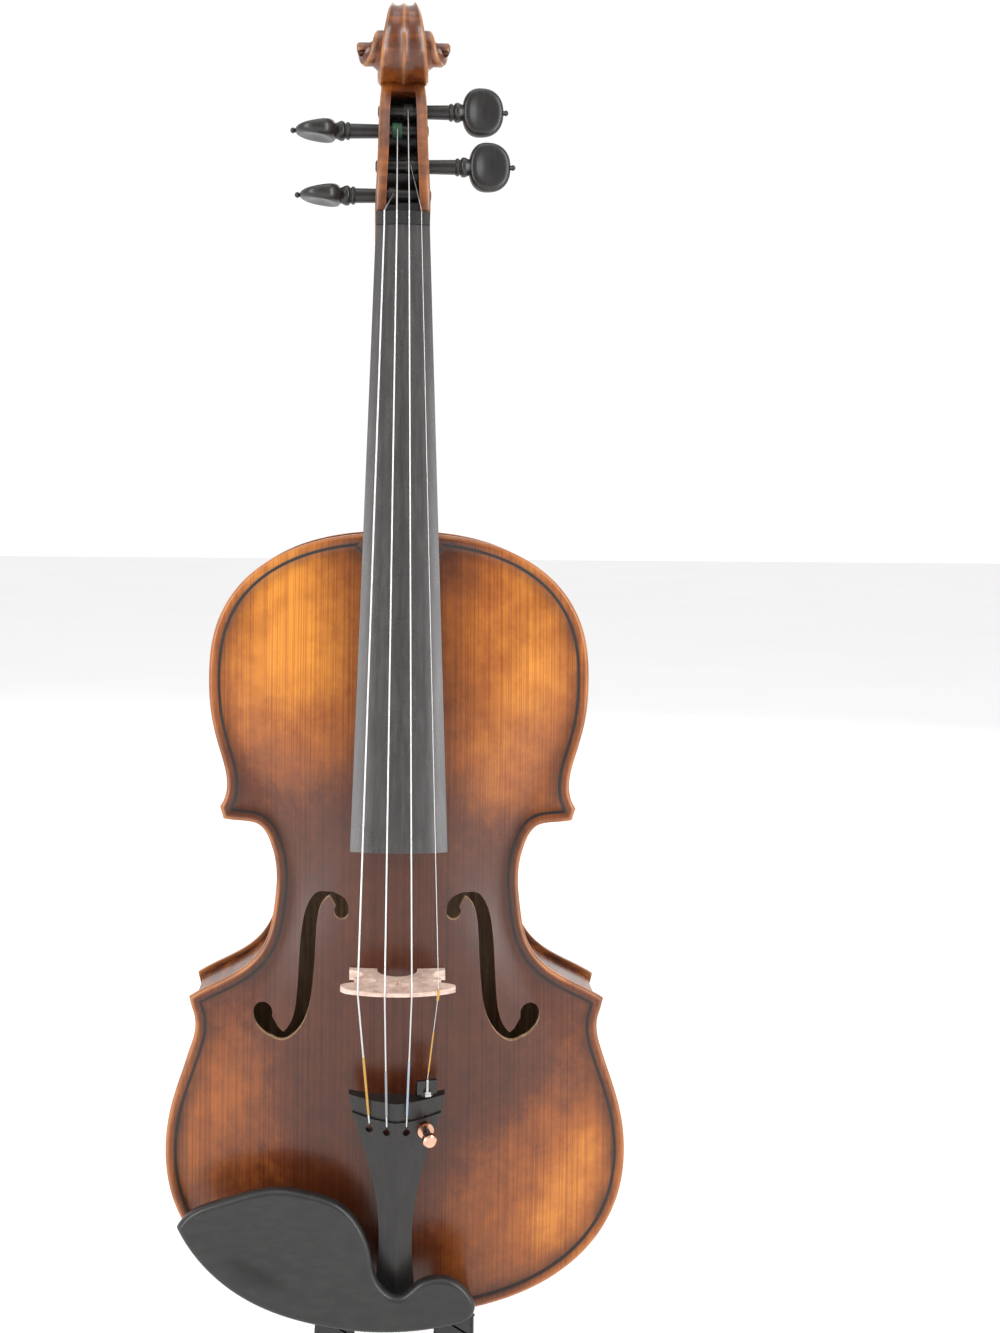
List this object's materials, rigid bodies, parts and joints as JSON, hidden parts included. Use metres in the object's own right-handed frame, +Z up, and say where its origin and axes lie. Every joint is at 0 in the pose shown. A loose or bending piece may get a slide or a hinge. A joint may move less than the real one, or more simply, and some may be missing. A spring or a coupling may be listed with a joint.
{
  "type": "violin",
  "caption": "Full-size violin with strings, bridge, tailpiece with one fine tuner, chin rest and turning pegs.",
  "frame": {"origin": "middle of the seam between nut and fingerboard, in the plane where the fingerboard is glued to the neck, where a hanger's yoke holds the neck", "axes": "+Z up the length towards the scroll, -Y out of the top towards the strings, +X to the treble side"},
  "size_m": [0.2086, 0.097, 0.6136],
  "materials": {
    "spruce_varnish": "satin amber-brown varnish",
    "maple_varnish": "glossy red-brown varnish",
    "neck_maple": "oiled",
    "bare_spruce": "raw",
    "dark_inlay": "satin",
    "bridge_maple": "raw, fine",
    "string_metal": "flat wound",
    "copper_plate": "polished",
    "black_metal": "satin black",
    "cork": "raw cork",
    "steel": "polished",
    "black_cord": "satin",
    "ebony": "polished"
  },
  "bodies": {
    "violin": {"back_plate": "maple_varnish", "bass_bar": "bare_spruce", "bridge": "bridge_maple", "button_crown": "ebony", "chinrest_cork": "cork", "chinrest_plate": "ebony", "chinrest_rods": "steel", "corner_block_lower_bass": "bare_spruce", "corner_block_lower_treble": "bare_spruce", "corner_block_upper_bass": "bare_spruce", "corner_block_upper_treble": "bare_spruce", "e_string_sleeve": "copper_plate", "end_block": "bare_spruce", "end_button": "ebony", "fingerboard": "ebony", "linings_back": "bare_spruce", "linings_top": "bare_spruce", "locating_pins": "dark_inlay", "neck": "neck_maple", "neck_block": "bare_spruce", "nut": "ebony", "purfling_back": "dark_inlay", "purfling_top": "dark_inlay", "rib_centre_bass": "maple_varnish", "rib_centre_treble": "maple_varnish", "rib_lower_bass": "maple_varnish", "rib_lower_treble": "maple_varnish", "rib_upper_bass": "maple_varnish", "rib_upper_treble": "maple_varnish", "saddle": "ebony", "sound_post": "bare_spruce", "string_a": "string_metal", "string_d": "string_metal", "string_e": "string_metal", "string_g": "string_metal", "tailgut": "black_cord", "tailpiece": "ebony", "tailpiece_fret": "ebony", "top_plate": "spruce_varnish", "tuner_body": "copper_plate", "tuner_pivot_pin": "copper_plate", "tuner_ring_nut": "copper_plate"},
    "peg_g": {"peg_g": "ebony", "winding_g": "string_metal"},
    "peg_d": {"peg_d": "ebony", "winding_d": "string_metal"},
    "peg_a": {"peg_a": "ebony", "winding_a": "string_metal"},
    "peg_e": {"peg_e": "ebony", "winding_e": "string_metal"},
    "tuner_screw": {"tuner_screw": "copper_plate"},
    "tuner_lever": {"tuner_lever": "black_metal", "e_string_end": "copper_plate"},
    "clamp_barrel_bass": {"clamp_barrel_bass": "steel"},
    "clamp_barrel_treble": {"clamp_barrel_treble": "steel"},
    "clamp_foot": {"clamp_foot": "ebony", "clamp_cork": "cork"}
  },
  "joints": [
    {"name": "peg_g_turn", "type": "hinge", "parent": "violin", "child": "peg_g", "pos_m": [0, 0.01002, 0.0164], "axis": [1, 0, 0], "continuous": true},
    {"name": "peg_d_turn", "type": "hinge", "parent": "violin", "child": "peg_d", "pos_m": [0, 0.01959, 0.0483], "axis": [1, 0, 0], "continuous": true},
    {"name": "peg_a_turn", "type": "hinge", "parent": "violin", "child": "peg_a", "pos_m": [0, 0.02253, 0.0581], "axis": [1, 0, 0], "continuous": true},
    {"name": "peg_e_turn", "type": "hinge", "parent": "violin", "child": "peg_e", "pos_m": [0, 0.01434, 0.0308], "axis": [1, 0, 0], "continuous": true},
    {"name": "tuner_screw_turn", "type": "hinge", "parent": "violin", "child": "tuner_screw", "pos_m": [0.0124, -0.03315, -0.39762], "axis": [-0.1959, 0.9668, 0.1638], "range_deg": [0, 1260]},
    {"name": "tuner_lever_tilt", "type": "hinge", "parent": "violin", "child": "tuner_lever", "pos_m": [0.01054, -0.02497, -0.39015], "axis": [0.9806, 0.1932, 0.0327], "range_deg": [0, 9.1]},
    {"name": "clamp_barrel_bass_turn", "type": "hinge", "parent": "violin", "child": "clamp_barrel_bass", "pos_m": [-0.021, 0.01239, -0.4971], "axis": [0, 1, 0], "range_deg": [0, 1260]},
    {"name": "clamp_barrel_treble_turn", "type": "hinge", "parent": "violin", "child": "clamp_barrel_treble", "pos_m": [0.021, 0.01239, -0.4971], "axis": [0, 1, 0], "range_deg": [0, 1260]},
    {"name": "clamp_foot_slide", "type": "slide", "parent": "violin", "child": "clamp_foot", "axis": [0, 1, 0], "range_m": [0, 0.005]}
  ],
  "couplings": [
    {"joint": "tuner_lever_tilt", "follows": "tuner_screw_turn", "ratio": 0.0071429},
    {"joint": "clamp_barrel_treble_turn", "follows": "clamp_barrel_bass_turn", "ratio": 1},
    {"joint": "clamp_foot_slide", "follows": "clamp_barrel_bass_turn", "m_per_rad": 0.00022282}
  ]
}
